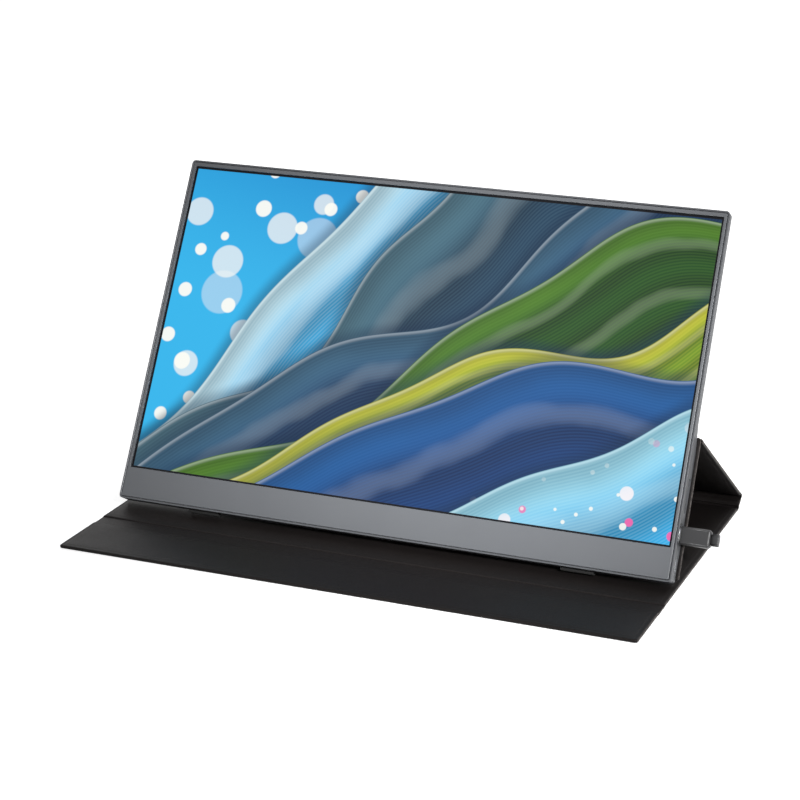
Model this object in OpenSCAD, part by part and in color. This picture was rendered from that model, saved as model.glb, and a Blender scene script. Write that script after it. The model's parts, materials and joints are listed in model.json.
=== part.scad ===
// Portable monitor standing in its folded leather cover.
// The origin is the centre of the base panel's underside, +Z is up, +X runs along the screen's width
// and -Y is the side that the screen faces. All sizes are in millimetres.

/* [Screen panel] */
// Width of the lit screen area
active_w = 344.2; // [300:0.1:345]
// Height of the lit screen area
active_h = 193.6; // [170:0.1:194]
// Black border between the lit area and the bezel
black_border = 1.3; // [0.6:0.1:2]
// Thickness of the glass cell
cell_t = 1.1; // [0.7:0.1:1.3]
// How far the glass reaches below the lit area
cell_ledge = 7; // [5:0.5:9]
// Thickness of the plastic frame round the light guide
mid_frame_t = 1.1; // [1:0.05:1.3]
// Thickness of the diffuser sheets
diffuser_t = 0.3; // [0.2:0.05:0.35]
// Thickness of the light guide
guide_t = 0.6; // [0.4:0.05:0.6]
// Thickness of the steel tray behind the panel
tray_t = 0.3; // [0.2:0.05:0.4]

/* [Monitor case] */
// Border from the lit area to the case's side
side_border = 4.5; // [4.3:0.1:8]
// Border from the lit area to the case's top
top_border = 5.1; // [4.6:0.1:10]
// Height of the chin below the lit area
chin_h = 20.9; // [19:0.1:26]
// Thickness of the case above the bulge
thin_t = 5.8; // [5.6:0.1:7]
// Thickness of the case at the bulge
thick_t = 10.4; // [10:0.1:12]
// Height of the bulge's full thickness
bulge_h = 77; // [74:0.5:79]
// Height of the slope above the bulge
ramp_h = 16; // [8:0.5:24]
// Radius of the case's corners
case_r = 2.2; // [1.8:0.1:5]
// Wall at the case's sides
wall_t = 1; // [0.8:0.1:1.2]
// Wall at the case's back
back_t = 1; // [0.8:0.1:1.1]
// Open line between the bezel and the case's rim
rim_gap = 0.35; // [0.2:0.05:0.5]
// Thickness of the bezel
bezel_t = 1.4; // [1.2:0.1:1.5]
// Thickness of the adhesive under the bezel
tape_t = 0.2; // [0.1:0.05:0.25]
// Clearance round pieces that lie inside the case
fit_gap = 0.2; // [0.1:0.05:0.3]

/* [Standing pose] */
// Angle of the screen above the table
screen_tilt = 61.4; // [60:0.1:63]
// From the base's front edge to the case's lower front edge
setback = 69.4; // [68:0.1:72]
// Height of the rubber feet
foot_h = 2; // [1.6:0.1:2.4]
// Length of a rubber foot
foot_l = 20; // [12:1:30]
// From the case's middle to the middle of a foot
foot_x = 120; // [112:1:150]
// Open gap between the feet and the base
foot_gap = 0.35; // [0.3:0.05:0.6]

/* [Cover] */
// Width of the cover
cover_w = 356.7; // [355:0.1:364]
// From the base's front edge to its rear crease
base_depth = 218.8; // [214:0.1:222]
// Depth of the flap in front of the groove
flap_depth = 42.8; // [36:0.1:48]
// Width of the groove behind the flap
groove_w = 10; // [8:0.5:12]
// Thickness of the outer leather
leather_t = 0.8; // [0.6:0.05:1]
// Thickness of the lining
lining_t = 0.6; // [0.4:0.05:0.8]
// Thickness of the stiffening board
board_t = 1; // [0.8:0.05:1.2]
// Leather rim round a board
rim_w = 3; // [2:0.5:6]
// Radius of the cover's free corners
cover_r = 2; // [1:0.5:8]
// From the rear crease to the prop's crease
spine_pitch = 9; // [8.6:0.1:10]
// Angle of the spine strip above the table
spine_heading = 36.6; // [30:0.1:45]
// Height of the apex crease along the case
apex_h = 83.8; // [82:0.1:86]
// From the mount panel's free edge to the case's lower edge
mount_rise = 2.5; // [2:0.5:6]
// Gap between the case's back and the mount panel
mount_gap = 0.3; // [0.2:0.05:0.4]
// Radius of the leather roll at the apex
apex_roll_r = 2.6; // [2:0.1:3]
// Radius of the leather roll at the prop's crease
prop_roll_r = 2.3; // [2:0.1:2.6]
// Clearance between a roll and a moving panel
roll_gap = 0.3; // [0.2:0.05:0.5]
// Diameter of a mount magnet
magnet_d = 12; // [8:0.5:16]
// Spacing of the mount magnets
magnet_pitch = 60; // [40:1:80]
// Height of the magnets along the case
magnet_h = 40; // [30:1:60]
// Length of a flap magnet
flap_magnet_l = 30; // [15:1:50]
// Depth of a flap magnet
flap_magnet_w = 6; // [4:0.5:10]

/* [Ports and controls] */
// Depth of the ports' and controls' middle behind the front
port_depth = 6; // [5.8:0.1:6.2]
// Height of the upper port above the case's lower edge
upper_port_h = 27.9; // [26:0.1:30]
// Height of the lower port above the case's lower edge
lower_port_h = 10.9; // [10:0.1:12]
// Outer width of a small port's metal shell
usb_w = 9; // [8.9:0.05:9.2]
// Outer thickness of a small port's metal shell
usb_t = 3.3; // [3.2:0.05:3.4]
// Sheet of the port shells
port_sheet = 0.3; // [0.2:0.05:0.35]
// Depth of the port shells
port_l = 7.4; // [7:0.1:8]
// Width of the picture port
hdmi_w = 11.2; // [10.8:0.1:11.6]
// Width of the recess round the plug
recess_w = 12.4; // [11.6:0.1:13]
// Thickness of the recess round the plug
recess_t = 7.6; // [7.2:0.1:8]
// Depth of the recess round the plug
recess_d = 0.6; // [0.4:0.1:0.7]
// Radius of the sound jack's bore
jack_r = 1.8; // [1.75:0.05:1.9]
// Radius of the sound jack's collar
jack_collar_r = 2.6; // [2.4:0.1:2.6]
// Length of the sound jack's body
jack_l = 13; // [11:0.5:14]
// Thickness of the sound jack's body
jack_t = 5; // [4.8:0.1:5]
// Height of the controls above the case's lower edge
control_h = 50.7; // [48:0.1:53]
// Depth of the controls' middle behind the front
control_depth = 6.75; // [6.7:0.05:6.8]
// Length of the menu rocker
rocker_l = 19.4; // [14:0.1:20]
// Width of the menu rocker
rocker_w = 2.8; // [2.4:0.1:3]
// Radius of the rocker's pivot pin
rocker_pin_r = 0.6; // [0.5:0.05:0.7]
// Clearance round the rocker and the button
control_gap = 0.3; // [0.25:0.05:0.35]
// Length of the power button
button_l = 9; // [7:0.1:12]
// Travel of the power button
button_travel = 0.6; // [0.4:0.1:0.7]

/* [Plug] */
// Length of the plug's moulded body
plug_l = 17.4; // [15:0.1:22]
// Width of the plug's moulded body
plug_w = 10.4; // [9.8:0.1:11]
// Thickness of the plug's moulded body
plug_t = 6; // [5.4:0.1:6.6]
// Bright metal that shows between the case and the body
plug_show = 1.2; // [0.4:0.1:1.5]
// Width of the plug's strain relief
relief_w = 7.2; // [6:0.1:8]
// Thickness of the plug's strain relief
relief_t = 5; // [4.4:0.1:5.4]
// Length of the plug's strain relief
relief_l = 4.6; // [3:0.1:10]

/* [Inside] */
// Thickness of a circuit board
pcb_t = 1.2; // [0.8:0.1:1.4]
// Width of the main board
main_w = 124; // [100:1:140]
// Height of the main board
main_h = 44; // [42:0.5:46]
// Width of the board behind the left-hand ports
io_w = 34; // [28:1:40]
// Height of the driver board in the chin
tcon_h = 9; // [7:0.5:10]
// Width of the driver board in the chin
tcon_w = 300; // [240:1:320]
// Length of a speaker
speaker_l = 40; // [30:1:50]
// Height of a speaker
speaker_h = 13; // [10:0.5:14]
// From the case's middle to the middle of a speaker
speaker_x = 84; // [74:1:88]
// Thickness of a chip
chip_t = 1.1; // [0.6:0.1:1.2]
// Diameter of a board screw's head
screw_head_d = 4; // [3:0.1:4.5]
// Diameter of a board screw's shank
screw_d = 2; // [1.6:0.1:2.2]

/* [Hidden] */
$fn = 48;
cut = 1;           // how far a cutting shape runs past what it cuts

// Case, in its own frame: x along the width, y up along the screen, z = 0 at the front face
case_w = active_w + 2 * side_border;
case_h = chin_h + active_h + top_border;
rim_in = wall_t + rim_gap;
window_w = active_w + 2 * black_border;
window_r = 0.6;
window_y0 = chin_h - black_border;
window_y1 = chin_h + active_h + black_border;
cell_z = -bezel_t - tape_t;
cell_overlap = 1;
cell_w = window_w + 2 * cell_overlap;
cell_y0 = chin_h - cell_ledge;
cell_y1 = window_y1 + cell_overlap;
frame_z = cell_z - cell_t;
frame_w = case_w - 2 * wall_t - 2 * fit_gap;
frame_wall = 3;
frame_r = case_r - wall_t - fit_gap;
guide_w = frame_w - 2 * frame_wall - 2 * fit_gap;
frame_below = 5.5;     // how far the frame reaches below the lit area
frame_y0 = chin_h - frame_below;
frame_y1 = case_h - wall_t - fit_gap;
guide_y0 = frame_y0 + frame_wall + fit_gap;
guide_y1 = frame_y1 - frame_wall - fit_gap;
led_h = 1;
guide_z = frame_z - diffuser_t;
reflector_z = guide_z - guide_t;
tray_z = frame_z - mid_frame_t;
tray_back = tray_z - tray_t;

// Circuit boards
standoff_h = 1.4;
pcb_z = tray_back - standoff_h;
pcb_back = pcb_z - pcb_t;
pcb_end = case_w / 2 - wall_t - port_l;
inside_back = back_t - thick_t;
main_y0 = 16;
main_x0 = pcb_end - main_w;
leg_w = 28;
leg_y0 = 4;
io_x1 = io_w - pcb_end;
screw_inset = 3.4;
screw_head_h = 1.2;
thread_gap = 0.05;
standoff_r = 2.2;
board_screw_points = [
    for (x = [main_x0 + screw_inset, pcb_end - leg_w - screw_inset],
        y = [main_y0 + screw_inset, main_y0 + main_h - screw_inset]) [x, y],
    for (y = [main_y0 + screw_inset, main_y0 + main_h - screw_inset]) [io_x1 - screw_inset, y]];

// Cover panels: the leather is on +z, the lining on -z
cover_t = leather_t + board_t + lining_t;
crease_r = cover_t / 2;
groove_t = leather_t + lining_t;
spine_rim = 1.2;
flap_y = flap_depth - base_depth / 2;
prop_shift = crease_r - prop_roll_r;

// Standing pose: each point is [y, z]
function turned(p, a) = [p[0] * cos(a) - p[1] * sin(a), p[0] * sin(a) + p[1] * cos(a)];
function heading(a, b) = atan2(b[1] - a[1], b[0] - a[0]);
foot_w = 4.4;
foot_r = 0.8;
edge_bevel = 1.2;
foot_back = thick_t - edge_bevel - 0.4;
case_y = setback - base_depth / 2;
case_z = cover_t + foot_gap + foot_h * sin(screen_tilt) + foot_back * cos(screen_tilt);
apex_depth = thick_t + mount_gap + apex_roll_r;
rear_crease = [base_depth / 2, crease_r];
apex_crease = [case_y, case_z] + turned([apex_h, -apex_depth], screen_tilt);
prop_crease = rear_crease + turned([spine_pitch, 0], spine_heading);
prop_pitch = norm(apex_crease - prop_crease);
prop_heading = heading(prop_crease, apex_crease);

// ---------------------------------------------------------------- frames and shared shapes

module in_case() {
    translate([0, case_y, case_z]) rotate([screen_tilt, 0, 0]) children();
}

// A panel's frame: y runs from the point along the heading, z points to the leather side
module in_panel(point, angle) {
    translate([0, point[0], point[1]]) rotate([angle, 0, 0]) children();
}

module in_base() {
    in_panel([0, crease_r], 0) children();
}

module in_spine() {
    in_panel(rear_crease, spine_heading) children();
}

module in_prop() {
    in_panel(prop_crease, prop_heading) translate([0, 0, prop_shift]) children();
}

// The mount panel lies along the case's back: y runs down from the apex crease
module in_mount() {
    in_case() translate([0, apex_h, -thick_t - mount_gap - crease_r]) rotate([180, 0, 0]) children();
}

// Plate from z0 up to z1, symmetric in x, with its own corner radius at y0 and at y1
module plate(w, y0, y1, z0, z1, r0 = 0, r1 = 0) {
    translate([0, 0, z0]) linear_extrude(z1 - z0) {
        translate([-w / 2, y0 + r0]) square([w, y1 - y0 - r0 - r1]);
        if (r0 > 0) round_end(w, y0 + r0, r0, -1);
        if (r1 > 0) round_end(w, y1 - r1, r1, 1);
    }
}

// The strip beyond y, r deep, with round corners: side is 1 towards +y and -1 towards -y
module round_end(w, y, r, side) {
    translate([r - w / 2, side > 0 ? y : y - r]) square([w - 2 * r, r]);
    for (x = [r - w / 2, w / 2 - r]) translate([x, y]) circle(r);
}

module box(x0, x1, y0, y1, z0, z1) {
    translate([x0, y0, z0]) cube([x1 - x0, y1 - y0, z1 - z0]);
}

// Bar along x with round long edges: h is its width along y and t its thickness along z
module bar(x0, x1, y, z, h, t, r) {
    translate([x0, y, z]) rotate([90, 0, 90]) linear_extrude(x1 - x0) {
        square([h - 2 * r, t], center = true);
        if (t > 2 * r) square([h, t - 2 * r], center = true);
        for (a = [-1, 1], b = [-1, 1]) translate([a * (h / 2 - r), b * (t / 2 - r)]) circle(r);
    }
}

module roll(point, r) {
    color("black") translate([0, point[0], point[1]]) rotate([0, 90, 0])
        cylinder(h = cover_w, r = r, center = true);
}

// ---------------------------------------------------------------- case

// The case's solid body with its skin moved in by side and back, up to the level front
module case_body(side, back, front, r) {
    slope_shift = back * tan(atan((thick_t - thin_t) / ramp_h) / 2);
    intersection() {
        plate(case_w - 2 * side, side, case_h - side, -thick_t - cut, front, r, r);
        rotate([90, 0, 90]) translate([0, 0, -case_w]) linear_extrude(2 * case_w)
            polygon([[0, front], [0, edge_bevel - thick_t], [edge_bevel, -thick_t + back],
                [bulge_h - slope_shift, back - thick_t],
                [bulge_h + ramp_h - slope_shift, back - thin_t],
                [case_h - edge_bevel, back - thin_t], [case_h, back - thin_t + edge_bevel],
                [case_h, front]]);
    }
}

module rear_cover() {
    color("slategray") in_case() difference() {
        union() {
            difference() {
                case_body(0, 0, 0, case_r);
                case_body(wall_t, back_t, cut, case_r - wall_t);
            }
            rocker_lugs();
            button_ribs();
        }
        right_openings();
        left_openings();
        sound_slots();
    }
}

inner_wall_x = case_w / 2 - wall_t;
control_slot_w = rocker_w + 2 * control_gap;
control_slot_l = rocker_l + 2 * control_gap;
lug_l = 3;
lug_t = 0.85;
lug_d = 2.4;
rocker_pivot_x = inner_wall_x - 1.2;

// Two ears behind the right wall that carry the rocker's pivot pin
module rocker_lugs() {
    difference() {
        for (side = [-1, 1]) translate([0, 0, side * (control_slot_w + lug_t) / 2 - control_depth])
            box(inner_wall_x - lug_d, inner_wall_x, control_h - lug_l / 2, control_h + lug_l / 2,
                -lug_t / 2, lug_t / 2);
        rocker_pin(rocker_pin_r + thread_gap, control_slot_w + 2 * lug_t);
    }
}

module rocker_pin(r, l) {
    translate([rocker_pivot_x, control_h, -control_depth]) cylinder(h = l, r = r, center = true);
}

rib_t = 1;
flange_lip = 0.25;
// Two ribs behind the left wall that guide the power button
module button_ribs() {
    for (side = [-1, 1]) {
        y = control_h + side * (button_l / 2 + control_gap + flange_lip + fit_gap + rib_t / 2);
        box(-inner_wall_x, lug_d - inner_wall_x, y - rib_t / 2, y + rib_t / 2,
            -control_depth - rocker_w / 2, -control_depth + rocker_w / 2);
    }
}

module right_openings() {
    x0 = inner_wall_x - cut;
    x1 = case_w / 2 + cut;
    for (y = [upper_port_h, lower_port_h])
        bar(x0, x1, y, -port_depth, usb_w + fit_gap, usb_t + fit_gap, (usb_t + fit_gap) / 2);
    bar(case_w / 2 - recess_d, x1, upper_port_h, -port_depth, recess_w, recess_t, 1);
    control_opening(x0, x1, control_slot_l);
}

module left_openings() {
    x0 = -case_w / 2 - cut;
    x1 = cut - inner_wall_x;
    bar(x0, x1, upper_port_h, -port_depth, hdmi_w + fit_gap, usb_t + fit_gap, 0.8);
    translate([x0, lower_port_h, -jack_depth]) rotate([0, 90, 0])
        cylinder(h = x1 - x0, r = jack_collar_r + fit_gap);
    control_opening(x0, x1, button_l + 2 * control_gap);
}

module control_opening(x0, x1, l) {
    box(x0, x1, control_h - l / 2, control_h + l / 2,
        -control_depth - control_slot_w / 2, -control_depth + control_slot_w / 2);
}

sound_slot_pitch = 4;
sound_slot_w = 2;
sound_slot_t = 2.4;
module sound_slots() {
    count = floor(speaker_l / sound_slot_pitch) - 1;
    for (side = [-1, 1], i = [0 : count - 1])
        translate([side * speaker_x + (i - (count - 1) / 2) * sound_slot_pitch, 0, -port_depth])
            box(-sound_slot_w / 2, sound_slot_w / 2, -cut, wall_t + cut,
                -sound_slot_t / 2, sound_slot_t / 2);
}

module rubber_feet() {
    color("dimgray") in_case() for (side = [-1, 1]) translate([side * foot_x, 0, 0])
        plate(foot_l, -foot_h, 0, -foot_back, foot_w - foot_back, foot_r, 0);
}

module front_bezel() {
    color("dimgray") in_case() difference() {
        plate(case_w - 2 * rim_in, rim_in, case_h - rim_in, -bezel_t, 0,
            case_r - rim_in, case_r - rim_in);
        plate(window_w, window_y0, window_y1, -bezel_t - cut, cut, window_r, window_r);
    }
}

// ---------------------------------------------------------------- screen panel

tape_inset = 0.3;
module bezel_tape() {
    color("black") in_case() difference() {
        plate(cell_w, cell_y0, cell_y1, cell_z, -bezel_t);
        plate(window_w + 2 * tape_inset, window_y0 - tape_inset, window_y1 + tape_inset,
            cell_z - cut, cut);
    }
}

module lcd_cell() {
    color("midnightblue") in_case() plate(cell_w, cell_y0, cell_y1, frame_z, cell_z);
}

module mid_frame() {
    color("ivory") in_case() difference() {
        plate(frame_w, frame_y0, frame_y1, tray_z, frame_z, 0, frame_r);
        plate(frame_w - 2 * frame_wall, frame_y0 + frame_wall, frame_y1 - frame_wall,
            tray_z - cut, frame_z + cut);
    }
}

module diffuser_sheets() {
    color("white") in_case() plate(guide_w, guide_y0, guide_y1, guide_z, frame_z);
}

module light_guide() {
    color("lightcyan") in_case() plate(guide_w, guide_y0 + led_h, guide_y1, reflector_z, guide_z);
}

module reflector_sheet() {
    color("silver") in_case() plate(guide_w, guide_y0, guide_y1, tray_z, reflector_z);
}

module led_bar() {
    color("gold") in_case() plate(guide_w, guide_y0, guide_y0 + led_h, reflector_z, guide_z);
}

display_cable_w = 12;
cable_room = 0.9;
display_cable_x = main_x0 + screw_inset + standoff_r + cable_room + display_cable_w / 2;
display_cable_y = 9;
cable_t = 0.4;
cable_overlap = 8;
module panel_tray() {
    color("gainsboro") in_case() difference() {
        plate(frame_w, wall_t + fit_gap, frame_y1, tray_back, tray_z, frame_r, frame_r);
        box(display_cable_x - display_cable_w / 2 - fit_gap,
            display_cable_x + display_cable_w / 2 + fit_gap,
            display_cable_y - fit_gap, display_cable_y + cable_t + fit_gap,
            tray_back - cut, tray_z + cut);
    }
}

tcon_y0 = 3;
tcon_t = 0.8;
module tcon_board() {
    color("darkgreen") in_case() plate(tcon_w, tcon_y0, tcon_y0 + tcon_h, tray_z, tray_z + tcon_t);
}

flex_count = 4;
flex_w = 24;
flex_overlap = 3;
module panel_flex() {
    color("darkorange") in_case() for (i = [0 : flex_count - 1])
        translate([(i - (flex_count - 1) / 2) * tcon_w / flex_count, 0, 0])
            plate(flex_w, tcon_y0 + tcon_h - flex_overlap, frame_y0 - fit_gap,
                tray_z + tcon_t, frame_z);
}

pad_rows = 3;
pad_w = 300;
pad_h = 10;
module foam_pads() {
    first = bulge_h + ramp_h + pad_h;
    step = (case_h - first - 2 * pad_h) / (pad_rows - 1);
    color("darkslategray") in_case() for (i = [0 : pad_rows - 1]) translate([0, first + i * step, 0])
        plate(pad_w, 0, pad_h, back_t - thin_t, tray_back);
}

// ---------------------------------------------------------------- boards and ports

module main_board() {
    color("seagreen") in_case() difference() {
        union() {
            box(main_x0, pcb_end, main_y0, main_y0 + main_h, pcb_back, pcb_z);
            box(pcb_end - leg_w, pcb_end, leg_y0, main_y0, pcb_back, pcb_z);
        }
        screw_holes();
    }
}

module io_board() {
    color("seagreen") in_case() difference() {
        box(-pcb_end, io_x1, leg_y0, main_y0 + main_h, pcb_back, pcb_z);
        box(-pcb_end - cut, jack_l - case_w / 2 + fit_gap, lower_port_h - jack_w / 2 - fit_gap,
            lower_port_h + jack_w / 2 + fit_gap, pcb_back - cut, pcb_z + cut);
        screw_holes();
    }
}

module screw_holes() {
    for (p = board_screw_points)
        translate([p[0], p[1], pcb_back - cut])
            cylinder(h = pcb_t + 2 * cut, d = screw_d + 2 * fit_gap);
}

thread_end = 0.2;
screw_end_gap = 0.2;
module board_standoffs() {
    color("silver") in_case() for (p = board_screw_points) translate([p[0], p[1], pcb_z])
        difference() {
            cylinder(h = standoff_h, r = standoff_r);
            translate([0, 0, -cut])
                cylinder(h = standoff_h + cut - thread_end, d = screw_d + 2 * thread_gap);
        }
}

module board_screws() {
    color("dimgray") in_case() for (p = board_screw_points) translate([p[0], p[1], pcb_back]) {
        translate([0, 0, -screw_head_h]) cylinder(h = screw_head_h, d = screw_head_d);
        cylinder(h = pcb_t + standoff_h - thread_end - screw_end_gap, d = screw_d);
    }
}

// Chips on the back of the boards, the largest of them under a metal can
can_w = 42;
can_gap = 0.6;
can_h = main_h - 2 * (screw_inset + screw_head_d / 2 + can_gap);
can_t = 2.2;
can_sheet = 0.3;
can_x = pcb_end - leg_w - can_w / 2 + 1;
board_y = main_y0 + main_h / 2;
processor_w = 15;
chip_w = 10;
chip_space = 3;
memory_x = can_x - can_w / 2 - chip_space - chip_w;
module main_chips() {
    color("#202124") in_case() {
        chip(can_x, board_y, processor_w);
        for (side = [-1, 1]) chip(memory_x, board_y + side * (chip_w + chip_space) / 2, chip_w);
        chip(io_x1 - io_w / 2, board_y, chip_w);
    }
}

module chip(x, y, w) {
    box(x - w / 2, x + w / 2, y - w / 2, y + w / 2, pcb_back - chip_t, pcb_back);
}

module shield_can() {
    color("silver") in_case() translate([can_x, board_y, 0]) difference() {
        box(-can_w / 2, can_w / 2, -can_h / 2, can_h / 2, pcb_back - can_t, pcb_back);
        box(can_sheet - can_w / 2, can_w / 2 - can_sheet, can_sheet - can_h / 2, can_h / 2 - can_sheet,
            pcb_back - can_t + can_sheet, pcb_back + cut);
    }
}

module display_cable() {
    x0 = display_cable_x - display_cable_w / 2;
    x1 = display_cable_x + display_cable_w / 2;
    color("white") in_case() {
        box(x0, x1, display_cable_y, display_cable_y + cable_t, pcb_z, tray_z);
        box(x0, x1, display_cable_y, main_y0 + cable_overlap, pcb_z, pcb_z + cable_t);
    }
}

io_cable_h = 10;
module io_cable() {
    color("white") in_case() box(io_x1 - cable_overlap, main_x0 + cable_overlap,
        board_y - io_cable_h / 2, board_y + io_cable_h / 2, pcb_z, pcb_z + cable_t);
}

port_back = 0.6;
tongue_t = 0.7;
tongue_side = 0.9;
tongue_back = 2;
// Metal port shell with its tongue, open at x1
module port(x1, y, w, r) {
    inner_w = w - 2 * port_sheet;
    inner_t = usb_t - 2 * port_sheet;
    difference() {
        bar(pcb_end, x1, y, -port_depth, w, usb_t, r);
        bar(pcb_end + port_back, x1 + cut, y, -port_depth, inner_w, inner_t, r - port_sheet);
    }
    tongue_w = inner_w - 2 * tongue_side;
    box(pcb_end + port_back, x1 - tongue_back, y - tongue_w / 2, y + tongue_w / 2,
        -port_depth - tongue_t / 2, -port_depth + tongue_t / 2);
}

module usb_c_port_upper() {
    color("silver") in_case() port(case_w / 2 - recess_d, upper_port_h, usb_w, usb_t / 2);
}

module usb_c_port_lower() {
    color("silver") in_case() port(case_w / 2 - fit_gap, lower_port_h, usb_w, usb_t / 2);
}

module mini_hdmi_port() {
    color("silver") in_case() mirror([1, 0, 0])
        port(case_w / 2 - fit_gap, upper_port_h, hdmi_w, 0.7);
}

jack_w = 6;
jack_depth = -(tray_back + inside_back) / 2;
jack_stop = 1.2;
module audio_jack() {
    color("#202124") in_case() translate([fit_gap - case_w / 2, lower_port_h, -jack_depth])
        difference() {
            union() {
                box(wall_t, jack_l - fit_gap, -jack_w / 2, jack_w / 2, -jack_t / 2, jack_t / 2);
                rotate([0, 90, 0]) cylinder(h = jack_l / 2, r = jack_collar_r);
            }
            rotate([0, 90, 0]) translate([0, 0, -cut])
                cylinder(h = jack_l - jack_stop + cut, r = jack_r);
        }
}

switch_t = 2.2;
switch_overlap = 3;   // how far a switch lies over its board
power_switch_h = 6;
rocker_switch_h = 10;
rocker_room = 0.8;
button_end_x = inner_wall_x - 3.2;
module power_switch() {
    color("silver") in_case()
        box(button_travel + fit_gap - button_end_x, switch_overlap - pcb_end,
            control_h - power_switch_h / 2, control_h + power_switch_h / 2,
            pcb_back - switch_t, pcb_back);
}

module rocker_switch() {
    color("silver") in_case()
        box(pcb_end - switch_overlap, rocker_pivot_x - lug_d / 2 - rocker_room,
            control_h - rocker_switch_h / 2, control_h + rocker_switch_h / 2,
            pcb_back - switch_t, pcb_back);
}

module speaker(side) {
    color("#303236") in_case() translate([side * speaker_x, 0, 0])
        plate(speaker_l, wall_t + fit_gap, wall_t + fit_gap + speaker_h, inside_back, tray_back, 1, 1);
}

module speaker_left() {
    speaker(-1);
}

module speaker_right() {
    speaker(1);
}

keeper_t = 0.4;
keeper_side = 4;
keeper_rim = 1;
magnet_count = 6;
magnet_x = [for (i = [0 : magnet_count - 1]) (i - (magnet_count - 1) / 2) * magnet_pitch];
module keeper_plates() {
    color("lightgray") in_case() for (x = magnet_x) translate([x, 0, 0])
        plate(magnet_d + 2 * keeper_side, magnet_h - magnet_d / 2 - keeper_rim,
            magnet_h + magnet_d / 2 + keeper_rim, inside_back, inside_back + keeper_t);
}

// ---------------------------------------------------------------- controls and plug

flange_t = 0.8;
button_stands = 0.2;  // how far the button stands out of the case
module power_button() {
    y0 = control_h - button_l / 2;
    y1 = control_h + button_l / 2;
    z0 = -control_depth - rocker_w / 2;
    z1 = -control_depth + rocker_w / 2;
    lip = control_gap + flange_lip;
    flange_x = fit_gap / 2 - inner_wall_x;
    color("#3c4046") in_case() {
        box(-case_w / 2 - button_stands, -button_end_x, y0, y1, z0, z1);
        box(flange_x, flange_x + flange_t, y0 - lip, y1 + lip, z0, z1);
    }
}

rocker_sink = 0.5;
rocker_edge_r = 0.5;
pin_end_gap = 0.1;
module menu_rocker() {
    color("#26282c") in_case() {
        bar(rocker_pivot_x - lug_d / 2, case_w / 2 - rocker_sink, control_h, -control_depth,
            rocker_l, rocker_w, rocker_edge_r);
        rocker_pin(rocker_pin_r, control_slot_w + 2 * lug_t - 2 * pin_end_gap);
    }
}

plug_x = case_w / 2 - recess_d + plug_show;
plug_fit = 0.1;
plug_sheet = 0.3;
plug_root = 1;        // solid length where the metal meets the moulded body
module plug_shell() {
    tip_x = pcb_end + port_back + 2 * fit_gap;
    w = usb_w - 2 * port_sheet - 2 * plug_fit;
    t = usb_t - 2 * port_sheet - 2 * plug_fit;
    color("lightgray") in_case() difference() {
        bar(tip_x, plug_x, upper_port_h, -port_depth, w, t, t / 2);
        bar(tip_x - cut, plug_x - plug_root, upper_port_h, -port_depth, w - 2 * plug_sheet,
            t - 2 * plug_sheet, t / 2 - plug_sheet);
    }
}

plug_r = 1.2;
plug_taper_l = 1.3;
plug_taper_w = 1.8;
plug_taper_t = 0.9;
taper_end = 0.1;
module plug_body() {
    x1 = plug_x + plug_l;
    x0 = x1 - plug_taper_l;
    color("#3b3d40") in_case() {
        bar(plug_x, x0, upper_port_h, -port_depth, plug_w, plug_t, plug_r);
        hull() {
            bar(x0, x0 + taper_end, upper_port_h, -port_depth, plug_w, plug_t, plug_r);
            bar(x1 - taper_end, x1, upper_port_h, -port_depth, plug_w - plug_taper_w,
                plug_t - plug_taper_t, plug_r);
        }
    }
}

relief_r = 2;
neck_l = 0.7;
neck_d = 0.6;
// A short oval stub behind a narrower neck
module plug_relief() {
    x0 = plug_x + plug_l;
    color("#2c2e31") in_case() {
        bar(x0, x0 + neck_l, upper_port_h, -port_depth, relief_w - 2 * neck_d,
            relief_t - 2 * neck_d, relief_r - neck_d);
        bar(x0 + neck_l, x0 + relief_l, upper_port_h, -port_depth, relief_w, relief_t, relief_r);
    }
}

// ---------------------------------------------------------------- cover

leather_z0 = lining_t - crease_r;
board_z1 = leather_z0 + board_t;

// Leather over and round the stiffening board, between y0 and y1
module leather(y0, y1, rim, r0 = 0, r1 = 0) {
    color("#242122") difference() {
        plate(cover_w, y0, y1, leather_z0, crease_r, r0, r1);
        plate(cover_w - 2 * rim, y0 + rim, y1 - rim, leather_z0 - cut, board_z1);
    }
}

module lining(y0, y1, r0 = 0, r1 = 0) {
    color("#2d2b2d") plate(cover_w, y0, y1, -crease_r, leather_z0, r0, r1);
}

module board(y0, y1, rim) {
    color("tan") plate(cover_w - 2 * rim, y0 + rim, y1 - rim, leather_z0, board_z1);
}

base_y0 = flap_y + crease_r + roll_gap;
base_y1 = rear_crease[0] - crease_r - roll_gap;
groove_y1 = flap_y + groove_w;
module base_leather() {
    in_base() {
        leather(groove_y1, base_y1, rim_w);
        color("#242122") plate(cover_w, base_y0, groove_y1, leather_z0, leather_z0 + leather_t);
    }
}

module base_lining() {
    in_base() lining(base_y0, base_y1);
}

module base_board() {
    in_base() board(groove_y1, base_y1, rim_w);
}

flap_y0 = -base_depth / 2;
flap_y1 = flap_y - crease_r - roll_gap;
module flap_leather() {
    in_base() leather(flap_y0, flap_y1, rim_w, cover_r);
}

module flap_lining() {
    in_base() lining(flap_y0, flap_y1, cover_r);
}

module flap_board() {
    in_base() difference() {
        board(flap_y0, flap_y1, rim_w);
        flap_magnet_blocks(cut);
    }
}

module flap_magnets() {
    color("silver") in_base() flap_magnet_blocks(0);
}

flap_magnet_x = [-130, -44, 44, 130];
flap_magnet_inset = 4;
// over is how far the blocks run past the board's faces
module flap_magnet_blocks(over) {
    y = flap_y0 + rim_w + flap_magnet_inset;
    for (x = flap_magnet_x) translate([x, 0, 0])
        plate(flap_magnet_l, y, y + flap_magnet_w, leather_z0 - over, board_z1 + over);
}

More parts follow.
